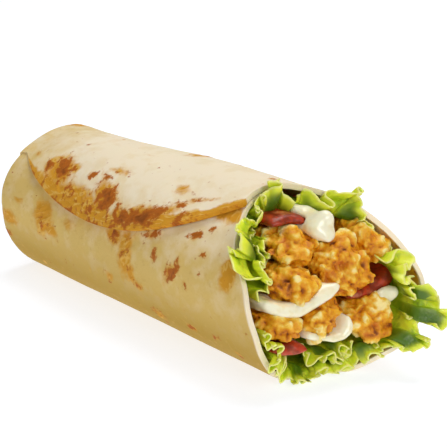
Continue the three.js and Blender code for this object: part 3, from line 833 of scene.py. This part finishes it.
# name, from and to angle, how far inside the wall, how far past the rim, how far it rolls over outward
leaves = [
    ("near_rim", 124, 159, 0, 12.5, 122),
    ("near_top", 80, 121, 0.3, 10, 88),
    ("near", 120, 174, 2.8, 7, -12),
    ("near_fold", 110, 146, 6, 8, -20),
    ("top", 45, 79, 0.6, 12.5, 44),
    ("far_top", 16, 50, -1.2, -0.5, -40),
    ("far", -8, 28, 2.6, 5.5, 12),
    ("far_low", -27, -1, 0, 12, 42),
    ("far_curl", -54, -20, 1.4, 8.5, 42),
    ("bottom_far", -88, -50, 3.2, 6.5, 20),
    ("bottom", -126, -72, 0, 8, 32),
    ("bottom_fold", -114, -66, 6, 9, 0),
    ("near_low", -168, -129, 0, 5.5, 24),
]
lettuceLook = {
    "columns": 150, "skin": 0.42,
    "fineRows": 44, "fineReach": 24,    # close rows near the leaf's edge
    "deepRows": 8, "deepReach": 110,    # and wider ones back to its root
    "curl": 1.5,                        # waves lean over into folds
    "ruffles": 53, "ruffle": 1.5, "crinkles": 131, "crinkle": 0.45, "crinkled": 8,
    "teeth": 1.1, "toothSize": 2.2, "rimWidth": 7,
    "mottleSize": 5, "mottleRange": (0.38, 0.66), "shadeSize": 3.2, "shadeRange": (0.5, 0.72, 0, 0.5),
    "brightRim": (0.35, 1.0, 0, 0.8), "paleRim": (0.86, 1.0, 0, 0.9), "grainSizes": (1.2, 3),
    # the hollow colour is the dark green of painted shade in the leaves' troughs and in random patches
    "green": tint(184, 212, 28), "bright": tint(234, 240, 58), "hollowShade": tint(78, 112, 10),
    "pale": tint(242, 242, 144),
}


# past is how far each point lies past the rim, along the leaf, and edge how far the leaf itself reaches there
def leafSurface(past, turn, level, rolled, edge):
    sizes, look = leafSizes, lettuceLook
    a = np.radians(turn)
    opening = smooth(past, *sizes["waving"])
    phase = sizes["waves"] * a + sizes["drift"] * np.sin(4 * a)
    nearEdge = smooth(edge - past, look["crinkled"], 0) * opening
    small = look["ruffles"] * a + 2 * np.sin(7 * a) + 0.22 * past
    lean = opening * look["curl"] * np.sin(2 * phase) + 0.5 * look["ruffle"] * nearEdge * np.sin(2 * small)
    angle = turn - np.degrees(lean / (roll["mouthHeight"] / 2))
    along = np.maximum(past, -sizes["rootX"])
    uneven = 0.75 + 0.35 * np.sin(5 * np.radians(angle) + 0.6)
    wave = np.sin(phase + 0.06 * along)
    frill = sizes["frill"] * uneven * opening * (wave - 1 + smooth(past, *sizes["free"]))
    frill = frill + look["ruffle"] * nearEdge * np.sin(small)
    frill = frill + look["crinkle"] * nearEdge * np.sin(look["crinkles"] * a + 0.5 * past)

    # past the rim the leaf rolls over on a round of this radius, then runs straight on
    radius = sizes["rollRadius"]
    side, most = np.sign(rolled), math.radians(abs(rolled))
    beyond = np.maximum(0, past - sizes["rollStart"])
    bend = np.minimum(most, beyond / radius)
    straight = beyond - bend * radius
    ahead = np.minimum(past, sizes["rollStart"]) + radius * np.sin(bend) + straight * np.cos(bend)
    aside = side * (radius * (1 - np.cos(bend)) + straight * np.sin(bend))

    wall = sheet["thickness"] - lift(sheet["tuckAngle"]) + sizes["wallGap"] + sizes["thickness"] / 2
    shallow = smooth(past, *sizes["deep"])
    inset = level * (sizes["deepLevel"] + (1 - sizes["deepLevel"]) * shallow)
    inset = inset + wall + sizes["deepGap"] * (1 - shallow)
    x = np.maximum(sizes["rootX"], rimX(angle) + ahead - side * frill * np.sin(bend))
    point = wallPoint(x, angle, aside + frill * np.cos(bend) - inset)
    point[..., 2] = np.maximum(point[..., 2], sizes["floor"])
    return point, wave


def lettuceMaterial():
    look = lettuceLook
    material, tree, surface = newMaterial("curly leaf", {
        "Roughness": 0.38, "Specular IOR Level": 0.45, "Subsurface Weight": 0.35,
        "Subsurface Radius": (0.0012, 0.0018, 0.0004), "Subsurface Scale": 0.6,
    })
    mottled = spread(tree, grain(tree, look["mottleSize"], 4), *look["mottleRange"])
    base = blended(tree, mottled, look["green"], look["bright"])
    shade = spread(tree, grain(tree, look["shadeSize"], 3, 0.4), *look["shadeRange"])
    # painted shade: dark green in the troughs of the waves and in random patches
    hollowShade = calc(tree, "MAXIMUM", painted(tree, "hollowShade"), shade)
    base = blended(tree, hollowShade, base, look["hollowShade"])
    base = blended(tree, spread(tree, painted(tree, "rim"), *look["brightRim"]), base, look["bright"])
    base = blended(tree, spread(tree, painted(tree, "rim"), *look["paleRim"]), base, look["pale"])
    tree.links.new(base, surface.inputs["Base Color"])
    fine, coarse = look["grainSizes"]
    relief(tree, surface, calc(tree, "ADD", grain(tree, fine, 3), grain(tree, coarse, 2)), 0.25, 0.7)
    return material


def addLettuce():
    look, sizes = lettuceLook, leafSizes
    material = lettuceMaterial()
    share = np.linspace(0, 1, look["columns"])
    rounded = np.sqrt(np.sin(math.pi * (0.08 + 0.84 * share)))    # shorter towards its sides
    fine = np.linspace(0, look["fineReach"], look["fineRows"])
    deep = look["fineReach"] + look["deepReach"] * np.linspace(0, 1, look["deepRows"] + 1)[1:] ** 1.5
    back = np.concatenate([fine, deep])[None, :]    # how far behind the leaf's edge each row is
    for order, (name, start, end, level, reach, rolled) in enumerate(leaves):
        turn = end + (start - end) * share
        lobes = 0.96 + 0.16 * np.sin(9 * share + 2 * order)
        edge = (reach + sizes["hidden"]) * rounded * lobes - sizes["hidden"]
        teeth = layeredNoise(np.stack([turn / look["toothSize"], 0 * turn + order, 0 * turn], -1), 1, 9, 3)
        edge = (edge + look["teeth"] * teeth)[:, None]
        past = edge - back
        points, wave = leafSurface(past, turn[:, None] + 0 * past, level, rolled, edge)
        made = meshObject("leaf_" + name, toRow(points.reshape(-1, 3)), gridFaces(*past.shape))
        # painted shade where the leaf's waves turn inward
        hollowShade = smooth(-wave, -0.1, 1.0) * smooth(past, -12, 4) * smooth(back, 0.6, 3)
        setAttribute(made, "hollowShade", hollowShade)
        setAttribute(made, "rim", np.clip(1 - back / look["rimWidth"] + 0 * past, 0, 1))
        thicken(made, look["skin"], 0)
        settlePiece(made, material, "lettuce_" + name)


addTortilla()
print("stage: tortilla")
addChicken()
print("stage: chicken")
addTomato()
addSauce()
print("stage: tomato and sauce")
addLettuce()
print("stage: lettuce")
